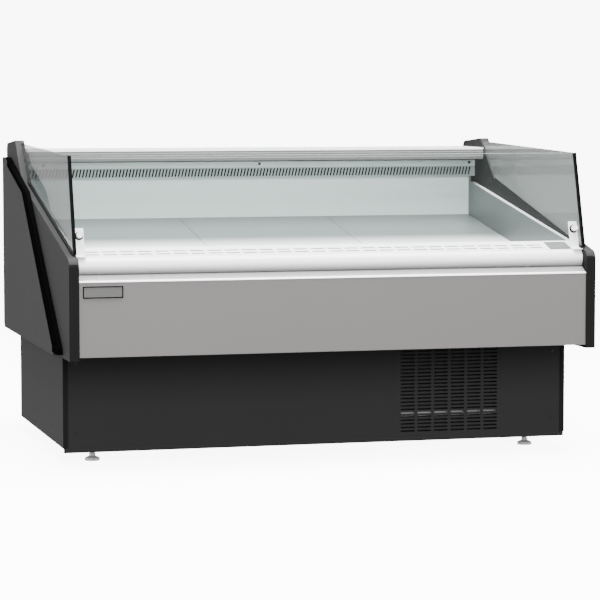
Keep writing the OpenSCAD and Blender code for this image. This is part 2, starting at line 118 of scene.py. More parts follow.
class Sheet:
    """One material: its node tree and its shader."""

    def __init__(self, name: str) -> None:
        """Makes a material of that name with a bare shader."""
        self.material = bpy.data.materials.new(name)
        self.material.use_nodes = True
        self.tree = self.material.node_tree
        self.shader = self.tree.nodes["Principled BSDF"]

    def node(self, kind: str, settings: dict, inputs: dict) -> bpy.types.Node:
        """Adds a node.

        Args:
            kind: its type.
            settings: its properties, set first.
            inputs: values, sockets or Values, by input name or number.

        Returns:
            The node.
        """
        made = self.tree.nodes.new(kind)
        for key, value in settings.items():
            setattr(made, key, value)
        for key, value in inputs.items():
            self.feed(made.inputs[key], value)
        return made

    def feed(self, socket: bpy.types.NodeSocket, value: object) -> None:
        """Links or sets one input socket."""
        if isinstance(value, Value):
            self.tree.links.new(value.socket, socket)
        elif isinstance(value, bpy.types.NodeSocket):
            self.tree.links.new(value, socket)
        else:
            socket.default_value = value

    def place(self, stretch: Colour = (1.0, 1.0, 1.0)) -> bpy.types.NodeSocket:
        """The point on the case, in metres, scaled along each axis."""
        coordinates = self.node("ShaderNodeTexCoord", {}, {})
        mapping = self.node(
            "ShaderNodeMapping", {}, {"Vector": coordinates.outputs["Object"], "Scale": stretch}
        )
        return mapping.outputs["Vector"]

    def axes(self) -> tuple[Value, Value, Value]:
        """The three coordinates of the point on the case, in metres."""
        parts = self.node("ShaderNodeSeparateXYZ", {}, {"Vector": self.place()})
        return tuple(Value(self, socket) for socket in parts.outputs)

    def noise(self, scale: float, detail: float = 3.0, stretch: Colour = (1.0, 1.0, 1.0)) -> Value:
        """Smooth noise from 0 to 1.

        Args:
            scale: lumps for each metre.
            detail: octaves.
            stretch: how the pattern is squeezed along each axis.

        Returns:
            The noise.
        """
        made = self.node(
            "ShaderNodeTexNoise", {}, {"Vector": self.place(stretch), "Scale": scale, "Detail": detail}
        )
        return Value(self, made.outputs[0])

    def blend(self, mask: Number, first: object, second: object) -> bpy.types.NodeSocket:
        """A colour between two others, by mask."""
        made = self.tree.nodes.new("ShaderNodeMix")
        made.data_type = "RGBA"
        self.feed(made.inputs["Factor"], mask)
        colours = [socket for socket in made.inputs if socket.type == "RGBA"]
        for socket, colour in zip(colours, (first, second)):
            self.feed(socket, (*colour, 1.0) if isinstance(colour, tuple) else colour)
        return next(socket for socket in made.outputs if socket.type == "RGBA")

    def bump(self, height: Value, depth: float) -> None:
        """Raises the surface by height times depth, in metres."""
        made = self.node("ShaderNodeBump", {}, {"Strength": 1.0, "Distance": depth, "Height": height})
        self.feed(self.shader.inputs["Normal"], made.outputs["Normal"])

    def set(self, **inputs: object) -> None:
        """Sets or links the shader's inputs; an underscore stands for a space."""
        for key, value in inputs.items():
            self.feed(self.shader.inputs[key.replace("_", " ")], value)


# ---------------------------------------------------------------- finishes


def shade(colour: Colour, by: float) -> Colour:
    """A colour made lighter or darker."""
    return tuple(min(1.0, channel * by) for channel in colour)


@dataclass(frozen=True)
class Paint:
    """Paint, powder coat or moulded plastic, with its own grain and handling marks."""

    name: str
    colour: Colour
    roughness: float = 0.45
    coat: float = 0.0
    grain: float = 900.0
    grain_depth: float = 0.00005
    mottle: float = 0.06
    scuff: float = 0.08
    metallic: float = 0.0
    gloss: float = 0.5
    # Painted shade: what lies in front of this y takes the dark band colour.
    front_shade_band: float = 0.0
    front_shade_colour: Colour = (0.009, 0.009, 0.009)
    inner_shade_band: float = 0.0

    def build(self) -> bpy.types.Material:
        """Makes the material.

        Where the front band is set, what lies in front of that y takes the band's dark colour: painted shade
        on the front faces. Where the inner band is set, what lies nearer the middle of the case than that x
        is darker: painted shade on the inner faces.
        """
        sheet = Sheet(self.name)
        cloud = sheet.noise(2.5, 4.0)
        grain = sheet.noise(self.grain, 2.0)
        marks = sheet.noise(14.0, 6.0, (1.0, 1.0, 3.0)).step(0.62, 0.8)
        tone = sheet.blend(cloud, shade(self.colour, 1 - self.mottle), shade(self.colour, 1 + self.mottle))
        tone = sheet.blend(marks * self.scuff, tone, shade(self.colour, 1.5))
        # Painted shade on the front faces.
        if self.front_shade_band:
            behind = sheet.axes()[1].step(self.front_shade_band, self.front_shade_band + 0.0006)
            tone = sheet.blend(behind, self.front_shade_colour, tone)
        # Painted shade on the inner faces, nearer the middle of the case.
        if self.inner_shade_band:
            outside = sheet.axes()[0].size().step(self.inner_shade_band, self.inner_shade_band + 0.001)
            tone = sheet.blend(outside, shade(self.colour, 0.3), tone)
        sheet.set(Specular_IOR_Level=self.gloss)
        sheet.set(
            Base_Color=tone, Roughness=self.roughness + (cloud - 0.5) * 0.08 + marks * self.scuff,
            Metallic=self.metallic, Coat_Weight=self.coat, Coat_Roughness=0.12,
        )
        sheet.bump(grain, self.grain_depth)
        return sheet.material


class Grain(Enum):
    """Which way a sheet was brushed or rolled."""

    ACROSS = (0.02, 1.0, 1.0)
    UPWARDS = (1.0, 1.0, 0.02)
    DEEP = (1.0, 0.02, 1.0)


@dataclass(frozen=True)
class Brushed:
    """Brushed or rolled sheet metal."""

    name: str
    colour: Colour
    grain: Grain = Grain.ACROSS
    roughness: float = 0.34
    metallic: float = 0.85
    streak: float = 0.06
    rear_shade_colour: Colour = ()
    rear_shade_fade: tuple[float, float] = (-0.50, 0.02)
    flange_from: float = 0.0
    flange_highlight_colour: Colour = (0.8, 0.82, 0.82)

    def build(self) -> bpy.types.Material:
        """Makes the material.

        Where a rear shade colour is set, the colour gives way to it from front to back: painted light at the
        front and painted shade towards the back. Where flange_from is set, what lies further out than that x
        is drawn bright, a painted highlight standing for the polished flange's reflection.
        """
        sheet = Sheet(self.name)
        lines = sheet.noise(900.0, 2.0, self.grain.value)
        cloud = sheet.noise(3.0, 3.0)
        tone = sheet.blend(lines, shade(self.colour, 1 - self.streak), shade(self.colour, 1 + self.streak))
        # Painted light at the front, painted shade towards the back.
        if self.rear_shade_colour:
            tone = sheet.blend(sheet.axes()[1].step(*self.rear_shade_fade), tone, self.rear_shade_colour)
        if self.flange_from:
            # Painted highlight: the flange is drawn bright as its reflection.
            flange = sheet.axes()[0].size().step(self.flange_from, self.flange_from + 0.0008)
            tone = sheet.blend(flange, tone, self.flange_highlight_colour)
        sheet.set(
            Base_Color=tone, Metallic=self.metallic,
            Roughness=self.roughness + (lines - 0.5) * 0.1 + (cloud - 0.5) * 0.06,
        )
        sheet.bump(lines, 0.00002)
        return sheet.material


@dataclass(frozen=True)
class Spangle:
    """Galvanised or cast metal with a crystal pattern."""

    name: str
    colour: Colour
    scale: float = 90.0
    metallic: float = 0.8
    roughness: float = 0.42

    def build(self) -> bpy.types.Material:
        """Makes the material."""
        sheet = Sheet(self.name)
        crystals = sheet.node("ShaderNodeTexVoronoi", {}, {"Vector": sheet.place(), "Scale": self.scale})
        mask = Value(sheet, crystals.outputs["Distance"])
        tone = sheet.blend(mask, shade(self.colour, 0.85), shade(self.colour, 1.15))
        sheet.set(Base_Color=tone, Metallic=self.metallic, Roughness=self.roughness + mask * 0.15)
        sheet.bump(sheet.noise(400.0), 0.00004)
        return sheet.material


@dataclass(frozen=True)
class Pane:
    """Clear glass with a polished edge, drawn as a light band of painted highlight."""

    name: str
    colour: Colour
    alpha: float
    edge_highlight_alpha: float
    lean: float
    edge_at: float
    glancing_reflection_alpha: float = 0.0
    gloss: float = 0.5
    edge_w: float = 0.004

    def build(self) -> bpy.types.Material:
        """Makes the material.

        The polished edge, a band of painted highlight, lies edge_at metres up the pane's own slope. Seen
        along its face the pane lets less through, and its dark tint then stands in as painted reflection.
        """
        sheet = Sheet(self.name)
        _, back, up = sheet.axes()
        along = back * math.sin(self.lean) + up * math.cos(self.lean)
        # Painted highlight: the polished edge is a lighter, less clear band.
        edge = along.step(self.edge_at - self.edge_w, self.edge_at)
        smear = sheet.noise(6.0, 5.0, (1.0, 1.0, 0.3)).step(0.5, 0.85)
        veil = self.alpha + smear * 0.015 + edge * (self.edge_highlight_alpha - self.alpha)
        # Painted reflection: seen at a glance the dark tint is nearly opaque.
        if self.glancing_reflection_alpha:
            facing = Value(sheet, sheet.node("ShaderNodeLayerWeight", {}, {"Blend": 0.5}).outputs["Facing"])
            veil = veil + facing.step(0.35, 0.72) * (self.glancing_reflection_alpha - self.alpha)
        sheet.set(
            Base_Color=sheet.blend(edge, self.colour, (0.80, 0.88, 0.85)), Roughness=0.03 + smear * 0.04,
            Alpha=veil, Specular_IOR_Level=self.gloss,
        )
        return sheet.material


@dataclass(frozen=True)
class NoseMoulding:
    """White moulding with painted shade greying it under its roll, a painted dark shade line in its crease
    and a painted highlight along its lower edge.
    """

    name: str
    colour: Colour
    under_shade_colour: Colour
    crease_shade_colour: Colour
    roll: tuple[float, float]
    crease: tuple[float, float]
    lower_highlight_edge: float

    def build(self) -> bpy.types.Material:
        """Makes the material. The roll, the crease and the lower edge are heights above the floor."""
        sheet = Sheet(self.name)
        height = sheet.axes()[2]
        cloud = sheet.noise(3.0, 3.0)
        # Painted shade: grey under the roll.
        tone = sheet.blend(height.step(*self.roll), self.under_shade_colour, self.colour)
        low, high = self.crease
        # Painted shade in the crease.
        crease_shade = height.step(low - 0.001, low) * (1.0 - height.step(high, high + 0.001))
        tone = sheet.blend(crease_shade, tone, self.crease_shade_colour)
        # Painted highlight along the lower edge.
        tone = sheet.blend(height.step(self.lower_highlight_edge, self.lower_highlight_edge + 0.0015), self.colour, tone)
        sheet.set(Base_Color=tone, Roughness=0.24 + cloud * 0.05, Coat_Weight=0.2, Coat_Roughness=0.1)
        sheet.bump(sheet.noise(900.0, 2.0), 0.00002)
        return sheet.material


@dataclass(frozen=True)
class Foam:
    """Cut polyurethane foam."""

    name: str
    colour: Colour

    def build(self) -> bpy.types.Material:
        """Makes the material."""
        sheet = Sheet(self.name)
        cells = sheet.node("ShaderNodeTexVoronoi", {}, {"Vector": sheet.place(), "Scale": 600.0})
        depth = Value(sheet, cells.outputs["Distance"])
        sheet.set(Base_Color=sheet.blend(depth, shade(self.colour, 0.7), self.colour), Roughness=0.9)
        sheet.bump(depth, 0.0004)
        return sheet.material


Finish = Union[Paint, Brushed, Spangle, Pane, NoseMoulding, Foam]

GLASS_LEAN = math.radians(16.46)
FRONT_PANE_TOP = sum(a * b for a, b in zip(
    (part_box("front_glass")[1].y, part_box("front_glass")[1].z), (math.sin(GLASS_LEAN), math.cos(GLASS_LEAN))
))

FRAME_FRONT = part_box("end_frame_left")[0].y + 0.002
BASE_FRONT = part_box("base_sides")[0].y + 0.0016
# End frame moulding, with painted shade on its front faces and on its inner faces.
CHARCOAL = Paint(
    "charcoal_moulding", (0.034, 0.034, 0.0345), 0.6, 0.0, 1400.0, 0.0001, gloss=0.04, front_shade_band=FRAME_FRONT,
    inner_shade_band=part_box("end_frame_right")[0].x + 0.0002,
)
PANEL_COAT = Paint("charcoal_panel", (0.04, 0.04, 0.0405), 0.6, 0.0, 1100.0, gloss=0.04)
BLACK_STRIP = Paint("black_strip", (0.002, 0.002, 0.0021), 0.5, 0.0, 700.0, gloss=0.0)
# Base side paint, with painted shade on its front faces.
SIDE_COAT = Paint(
    "charcoal_base_coat", (0.039, 0.039, 0.0395), 0.6, 0.0, 1300.0, gloss=0.03, front_shade_band=BASE_FRONT
)
# The base paint drawn darker for the kick plate and rear cover: painted shade.
SHADED_BASE_COAT = Paint("base_coat_painted_shade", (0.018, 0.018, 0.0183), 0.55, 0.0, 1300.0, gloss=0.06)
FRONT_COAT = Paint("warm_grey_coat", (0.145, 0.138, 0.136), 0.45, 0.0, 1200.0, 0.00002, 0.02, 0.02, gloss=0.2)
WHITE_COAT = Paint("white_coat", (0.9, 0.91, 0.91), 0.3, 0.2, 1200.0, 0.00002, 0.01, 0.0)
KNOB_WHITE = Paint("knob_white", (0.9, 0.9, 0.9), 0.25, 0.3, 900.0, 0.00002, 0.01, 0.0)
NOSE_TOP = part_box("nose_bumper")[1].z
# White nose, with painted shade under its roll and in its crease, and a painted highlight on its lower edge.
WHITE_NOSE = NoseMoulding(
    "white_nose_moulding", (0.92, 0.92, 0.92), (0.24, 0.235, 0.235), (0.05, 0.05, 0.05),
    roll=(NOSE_TOP - 0.050, NOSE_TOP - 0.018), crease=(NOSE_TOP - 0.0505, NOSE_TOP - 0.0475),
    lower_highlight_edge=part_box("nose_bumper")[0].z + 0.002,
)
GREY_COVER = Paint("grey_cover", (0.12, 0.124, 0.124), 0.5, gloss=0.2)
RAIL_COAT = Paint("rail_grey", (0.11, 0.115, 0.112), 0.4, 0.0, 900.0, 0.00002, 0.03, 0.02, gloss=0.3)
# A lighter copy of the rail paint for its bands: painted highlight.
RAIL_BAND_HIGHLIGHT = Paint("rail_band_painted_highlight", (0.2, 0.205, 0.2), 0.4, 0.0, 900.0, 0.00002, 0.03, 0.02, gloss=0.3)
BLACK_RUBBER = Paint("black_rubber", (0.003, 0.003, 0.003), 0.6, 0.0, 1800.0, 0.0001, gloss=0.03)
SCREW_METAL = Paint("dark_screw", (0.02, 0.02, 0.021), 0.35, 0.0, 900.0, 0.00002, 0.1, 0.1, 0.6)
# Motor black, also used for the condenser coil as painted shade behind the kick grille.
MOTOR_BLACK_AND_COIL_SHADE = Paint("motor_black", (0.012, 0.012, 0.0125), 0.45, 0.0, gloss=0.3)
# Near black for the sheets behind the air slots: painted shade.
SLOT_SHADE = Paint("slot_shade_black", (0.003, 0.0032, 0.0032), 0.7, 0.0, 400.0, 0.0001, gloss=0.02)
GREY_BOX = Paint("grey_box", (0.2, 0.2, 0.205), 0.5)
DRAIN_PLASTIC = Paint("drain_plastic", (0.6, 0.6, 0.58), 0.5)
SWITCH_RED = Paint("switch_red", (0.42, 0.02, 0.02), 0.3, 0.3)
COOL_STEEL = Brushed("cool_steel", (0.53, 0.63, 0.61), Grain.ACROSS, 0.42, 0.15, 0.02)
GRILLE_STEEL = Brushed("grille_steel", (0.27, 0.32, 0.31), Grain.ACROSS, 0.42, 0.3, 0.03)
# Deck pans: bright at the front, painted light, and dark at the back, painted shade.
DECK_STEEL = Brushed(
    "deck_steel", (0.92, 0.96, 0.95), Grain.DEEP, 0.34, 0.3, 0.02, (0.125, 0.15, 0.146), rear_shade_fade=(0.0, 0.19)
)
FLANGE_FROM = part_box("liner_floor")[1].x + 0.0022
# Liner end walls: the liner steel drawn far darker than the rear wall, painted shade.
SHADED_END_STEEL = Brushed(
    "end_steel_painted_shade", (0.075, 0.087, 0.085), Grain.DEEP, 0.36, 0.3, 0.03, flange_from=FLANGE_FROM
)
BADGE_METAL = Brushed("badge_metal", (0.17, 0.168, 0.165), Grain.ACROSS, 0.35, 0.6, 0.1)
ALUMINIUM = Brushed("fin_aluminium", (0.55, 0.55, 0.53), Grain.UPWARDS, 0.4, 0.8)
COPPER = Brushed("copper_tube", (0.6, 0.3, 0.17), Grain.ACROSS, 0.35, 0.9)
ZINC = Spangle("zinc_plate", (0.55, 0.55, 0.56), 200.0)
GALVANISED = Spangle("galvanised", (0.4, 0.41, 0.42))
FOAM = Foam("cut_foam", (0.75, 0.66, 0.4))
# Front pane, with a painted highlight on its polished top edge.
FRONT_PANE = Pane("front_pane", (0.3, 0.36, 0.34), 0.012, 0.5, GLASS_LEAN, FRONT_PANE_TOP, gloss=0.3)
PANE_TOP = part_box("end_glass_left")[1].z + 1.0
# End panes: their dark tint, nearly opaque at glancing views, is painted reflection.
NEAR_PANE = Pane("left_end_pane", (0.05, 0.055, 0.054), 0.1, 0.1, 0.0, PANE_TOP, 0.55, 0.4)
FAR_PANE = Pane("right_end_pane", (0.09, 0.095, 0.094), 0.2, 0.2, 0.0, PANE_TOP, 0.975, 0.4)

NODE_FINISHES: dict[Finish, tuple[str, ...]] = {
    CHARCOAL: ("end_frame_left", "end_frame_right"),
    PANEL_COAT: ("side_panel_left", "side_panel_right", "rear_panel"),
    BLACK_STRIP: ("edge_trim_left", "edge_trim_right"),
    SIDE_COAT: ("base_sides",),
    SHADED_BASE_COAT: ("kick_plate", "base_rear_cover"),
    FRONT_COAT: ("front_panel",),
    WHITE_COAT: ("front_air_grille", "header_top", "glass_clamps"),
    WHITE_NOSE: ("nose_bumper",),
    GREY_COVER: ("grille_end_cover",),
    RAIL_COAT: ("header_rail",),
    BLACK_RUBBER: ("glass_edge_seals", "cable_gland"),
    # The condenser coil in motor black: painted shade.
    MOTOR_BLACK_AND_COIL_SHADE: ("evaporator_motors", "condenser_motor", "compressor", "fan_shroud", "condenser_coil"),
    GREY_BOX: ("electrical_box",),
    DRAIN_PLASTIC: ("drain_pipe",),
    SWITCH_RED: ("rocker_switch",),
    COOL_STEEL: ("rear_wall_panel", "liner_floor", "liner_front", "liner_rear", "fascia"),
    GRILLE_STEEL: ("discharge_grille",),
    DECK_STEEL: ("deck_pan_1", "deck_pan_2", "deck_pan_3"),
    SHADED_END_STEEL: ("liner_end_left", "liner_end_right"),
    BADGE_METAL: ("badge_plate",),
    ALUMINIUM: ("evaporator_coil", "evaporator_fan_1", "evaporator_fan_2", "condenser_fan"),
    COPPER: ("refrigerant_lines",),
    ZINC: ("foot_1", "foot_2", "foot_3", "foot_4"),
    GALVANISED: ("base_pan", "unit_tray", "tank_base", "fan_plate", "deck_supports"),
    FOAM: ("insulation",),
    FRONT_PANE: ("front_glass",),
    NEAR_PANE: ("end_glass_left",),
    FAR_PANE: ("end_glass_right",),
}

_built: dict[str, bpy.types.Material] = {}


def material(finish: Finish) -> bpy.types.Material:
    """The material of a finish, made once."""
    if finish.name not in _built:
        _built[finish.name] = finish.build()
    return _built[finish.name]


# ---------------------------------------------------------------- bench tools


def deselect() -> None:
    """Deselects every object."""
    bpy.ops.object.select_all(action="DESELECT")


def activate(piece: bpy.types.Object) -> None:
    """Selects one piece alone and makes it active."""
    deselect()
    piece.select_set(True)
    bpy.context.view_layer.objects.active = piece


def pick_faces(piece: bpy.types.Object, wanted: Callable[[bpy.types.MeshPolygon], bool]) -> None:
    """Selects the faces of a piece that pass a test, and goes into edit mode."""
    activate(piece)
    bpy.ops.object.mode_set(mode="EDIT")
    bpy.ops.mesh.select_mode(type="FACE")
    bpy.ops.mesh.select_all(action="DESELECT")
    bpy.ops.object.mode_set(mode="OBJECT")
    for face in piece.data.polygons:
        face.select = wanted(face)
    bpy.ops.object.mode_set(mode="EDIT")


def leave_edit() -> None:
    """Goes back to object mode."""
    bpy.ops.object.mode_set(mode="OBJECT")


def soften(piece: bpy.types.Object, width: float, segments: int = 2) -> None:
    """Rounds a piece's sharp edges with a bevel, applies it and shades the curves smooth."""
    activate(piece)
    bevel = piece.modifiers.new("bevel", "BEVEL")
    bevel.width = width
    bevel.segments = segments
    bevel.limit_method = "ANGLE"
    bpy.ops.object.modifier_apply(modifier=bevel.name)
    bpy.ops.object.shade_smooth_by_angle(angle=math.radians(35))


def settle(piece: bpy.types.Object) -> None:
    """Puts a piece's place into its mesh, so that its object sits at the origin."""
    activate(piece)
    bpy.ops.object.transform_apply(location=True, rotation=True, scale=True)


def bar(name: str, centre: Vector, size: Vector, turn_x: float = 0.0) -> bpy.types.Object:
    """A block at its size and place, ready to be shaped.

    Args:
        name: the piece's name.
        centre: the middle of the block.
        size: its length along each of its own axes.
        turn_x: its turn about the case's width.

    Returns:
        The block.
    """
    deselect()
    bpy.ops.mesh.primitive_cube_add(size=1.0, location=centre, rotation=(turn_x, 0.0, 0.0))
    piece = bpy.context.object
    piece.name = name
    piece.scale = size
    bpy.ops.object.transform_apply(location=False, rotation=False, scale=True)
    return piece


def join(name: str, parts: Iterable[bpy.types.Object]) -> bpy.types.Object:
    """Joins settled parts into one piece."""
    parts = list(parts)
    activate(parts[0])
    for part in parts:
        part.select_set(True)
    bpy.ops.object.join()
    parts[0].name = name
    return parts[0]


def finish_piece(piece: bpy.types.Object, finish: Finish, body: str) -> None:
    """Dresses a settled piece, rides it on its body and reports it."""
    piece.data.materials.clear()
    piece.data.materials.append(material(finish))
    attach(piece, body)
    log.info("made %s on %s, %d faces", piece.name, body, len(piece.data.polygons))


# ---------------------------------------------------------------- sub-assemblies


@dataclass
class Carried:
    """The CAD pieces that keep their own shape and get their finish here."""

    rounded: tuple[str, ...] = (
        "end_frame_left", "end_frame_right", "side_panel_left", "side_panel_right", "front_panel",
        "nose_bumper", "header_top", "header_rail", "glass_clamps", "badge_plate", "grille_end_cover",
        "compressor", "electrical_box", "rear_panel", "cable_gland", "foot_1", "foot_2", "foot_3", "foot_4",
    )
    edge_radius: float = 0.0012
    frame_radius: float = 0.004

    def build(self) -> None:
        """Gives every carried piece its material, and the moulded ones rounded edges."""
        for finish, names in NODE_FINISHES.items():
            for name in names:
                node = frame["nodes"][name]
                node.data.materials.clear()
                node.data.materials.append(material(finish))
        for name in self.rounded:
            radius = self.frame_radius if name.startswith("end_frame") else self.edge_radius
            self._round(frame["nodes"][name], radius)
        log.info("dressed %d carried pieces", sum(len(names) for names in NODE_FINISHES.values()))

    def _round(self, node: bpy.types.Object, radius: float) -> None:
        """Adds live weld and bevel modifiers, which leave the CAD mesh as it is."""
        weld = node.modifiers.new("weld", "WELD")
        weld.merge_threshold = 0.00002
        bevel = node.modifiers.new("edges", "BEVEL")
        bevel.width = radius
        bevel.segments = 2
        bevel.limit_method = "ANGLE"
        bevel.angle_limit = math.radians(40)
        bevel.use_clamp_overlap = True


@dataclass
class EdgeStrips:
    """Ribs and end block of the black strip along the front edge of each side panel."""

    proud: float = 0.0022
    rib_w: float = 0.020
    foot: Vector = field(default_factory=lambda: Vector((0.0, -0.412, 0.362)))
    corner: Vector = field(default_factory=lambda: Vector((0.0, 0.150, 0.786)))
    top: Vector = field(default_factory=lambda: Vector((0.0, 0.478, 0.866)))
    block_h: float = 0.024

    def build(self) -> None:
        """Makes the ribs and block of both strips."""
        for side in ("left", "right"):
            low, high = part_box(f"edge_trim_{side}")
            outer = low.x if side == "left" else high.x
            parts = [self._rib(outer, self.foot, self.corner), self._rib(outer, self.corner, self.top)]
            parts.append(self._block(outer, low))
            strip = join(f"edge_strip_ribs_{side}", parts)
            finish_piece(strip, BLACK_STRIP, "case")

    def _rib(self, outer: float, start: Vector, end: Vector) -> bpy.types.Object:
        """One rib along a straight run of the strip."""
        run = end - start
        centre = (start + end) / 2 + Vector((outer, 0.0, 0.0))
        rib = bar("rib", centre, Vector((self.proud * 2, run.length, self.rib_w)), math.atan2(run.z, run.y))
        soften(rib, self.proud * 0.9, 3)
        settle(rib)
        return rib

    def _block(self, outer: float, low: Vector) -> bpy.types.Object:
        """The moulded block that closes the strip's lower end."""
        size = Vector((self.proud * 3, 0.092, self.block_h))
        block = bar("block", Vector((outer, low.y + size.y / 2, low.z + size.z / 2)), size)
        soften(block, 0.002, 3)
        settle(block)
        return block


@dataclass
class ClampKnobs:
    """Round grip knobs of the front pane's two clamps."""

    grip_r: float = 0.009
    grip_h: float = 0.012
    grip_start: float = 0.0064
    stem_r: float = 0.003
    stem_h: float = 0.010
    sides: int = 32
    shadow_ring_r: float = 0.0125
    shadow_ring_t: float = 0.0015
    shadow_ring_gap: float = 0.0005
    upright: float = 0.025
    dish_rim: float = 0.0025
    dish_depth: float = 0.0012
    flute_rim: float = 0.0002
    flute_depth: float = 0.0008
    flute_every: int = 4
    corner_r: float = 0.0003

    def build(self) -> None:
        """Makes both knobs, each in place of its CAD solid, and the black rings behind them: painted shadow.
        """
        shadow_rings = []
        for side in ("left", "right"):
            node = f"clamp_knob_{side}"
            joint = next(j for j in frame["joints"] if j["child"] == node)
            knob = self._knob(Vector(joint["pos_m"]), Vector(joint["axis"]), node)
            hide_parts(node)
            finish_piece(knob, KNOB_WHITE, node)
            shadow_rings.append(self._shadow_ring(Vector(joint["pos_m"]), Vector(joint["axis"])))
        # Black rings behind the knobs: painted shadow.
        finish_piece(join("clamp_shadow_rings", shadow_rings), BLACK_RUBBER, "case")

    def _shadow_ring(self, pivot: Vector, axis: Vector) -> bpy.types.Object:
        """One black ring on the front of its clamp's upright: painted shadow for the dark hole and the knob's
        shade.

        Args:
            pivot: a point on its knob's axis.
            axis: the knob's axis.

        Returns:
            The ring.
        """
        turn = Vector((0.0, 0.0, 1.0)).rotation_difference(axis).to_matrix().to_4x4()
        place = Matrix.Translation(pivot + axis * (self.upright - self.shadow_ring_t / 2)) @ turn
        deselect()
        bpy.ops.mesh.primitive_cylinder_add(vertices=self.sides, radius=self.shadow_ring_r, depth=self.shadow_ring_t)
        shadow_ring = bpy.context.object
        shadow_ring.matrix_world = place
        pick_faces(shadow_ring, lambda face: face.normal.z < -0.9)
        bpy.ops.mesh.inset(thickness=self.shadow_ring_r - self.stem_r - self.shadow_ring_gap)
        bpy.ops.transform.translate(value=axis * self.shadow_ring_gap)
        leave_edit()
        settle(shadow_ring)
        return shadow_ring

    def _knob(self, pivot: Vector, axis: Vector, node: str) -> bpy.types.Object:
        """One knob with a fluted grip, a dished face and a stem.

        Args:
            pivot: a point on its axis.
            axis: its axis, from the pane into the case.
            node: the CAD knob that it stands for.

        Returns:
            The knob.
        """
        deselect()
        bpy.ops.mesh.primitive_cylinder_add(vertices=self.sides, radius=self.grip_r, depth=self.grip_h)
        knob = bpy.context.object
        knob.name = f"{node}_grip"
        pick_faces(knob, lambda face: face.normal.z < -0.9)
        bpy.ops.mesh.inset(thickness=self.dish_rim)
        bpy.ops.transform.translate(value=(0.0, 0.0, self.dish_depth))
        leave_edit()
        pick_faces(knob, lambda face: face.normal.z > 0.9)
        bpy.ops.mesh.inset(thickness=self.grip_r - self.stem_r)
        bpy.ops.mesh.extrude_region_move(TRANSFORM_OT_translate={"value": (0.0, 0.0, self.stem_h)})
        leave_edit()
        pick_faces(knob, self._is_flute)
        bpy.ops.mesh.inset(thickness=self.flute_rim)
        bpy.ops.mesh.extrude_region_shrink_fatten(TRANSFORM_OT_shrink_fatten={"value": -self.flute_depth})
        leave_edit()
        soften(knob, self.corner_r)
        turn = Vector((0.0, 0.0, 1.0)).rotation_difference(axis).to_matrix().to_4x4()
        knob.matrix_world = Matrix.Translation(pivot + axis * (self.grip_start + self.grip_h / 2)) @ turn
        settle(knob)
        return knob

    def _is_flute(self, face: bpy.types.MeshPolygon) -> bool:
        """Whether a face is one of the flutes, evenly spaced round the grip's outside.

        Args:
            face: a face of the knob before it is put in place.

        Returns:
            True for a flute.
        """
        if abs(face.normal.z) > 0.5 or face.center.xy.length < 0.9 * self.grip_r:
            return False
        place = math.atan2(face.center.y, face.center.x) * self.sides / (2 * math.pi) - 0.5
        return round(place) % self.flute_every == 0


@dataclass
class Screws:
    """Pan-head screws with a round recess, in place of the CAD heads."""

    head_r: float = 0.005
    head_h: float = 0.0022
    side_place: tuple[float, float] = (0.289, 0.806)

    def build(self) -> None:
        """Makes every visible screw as one piece."""
        fascia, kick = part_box("fascia"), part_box("kick_plate")
        frame_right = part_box("end_frame_right")[0].x
        fronts = [Vector((x, fascia[0].y, 0.858)) for x in (-0.700, 0.020, 0.750)]
        fronts += [Vector((x, kick[0].y, z)) for x in (-0.744, 0.744) for z in (0.090, 0.300)]
        facing_front = Matrix.Rotation(math.radians(90), 4, "X")
        places = [Matrix.Translation(point) @ facing_front for point in fronts]
        for sign in (-1, 1):
            turn = Matrix.Rotation(math.radians(-90 * sign), 4, "Y")
            places.append(Matrix.Translation(Vector((sign * frame_right, *self.side_place))) @ turn)
        heads = [self._head(place) for place in places]
        heads[0] = join("screws_pan_head", heads)
        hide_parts("screws")
        finish_piece(heads[0], SCREW_METAL, "case")

    def _head(self, place: Matrix) -> bpy.types.Object:
        """One head whose face looks along its own z, set at a place."""
        deselect()
        bpy.ops.mesh.primitive_cylinder_add(
            vertices=20, radius=self.head_r, depth=self.head_h, location=(0.0, 0.0, self.head_h / 2)
        )
        head = bpy.context.object
        pick_faces(head, lambda face: face.normal.z > 0.9)
        bpy.ops.mesh.inset(thickness=self.head_r * 0.35)
        bpy.ops.transform.translate(value=(0.0, 0.0, 0.0006))
        bpy.ops.mesh.inset(thickness=self.head_r * 0.3)
        bpy.ops.mesh.extrude_region_move(TRANSFORM_OT_translate={"value": (0.0, 0.0, -0.0014)})
        leave_edit()
        soften(head, 0.0004)
        head.matrix_world = place @ head.matrix_world
        settle(head)
        return head


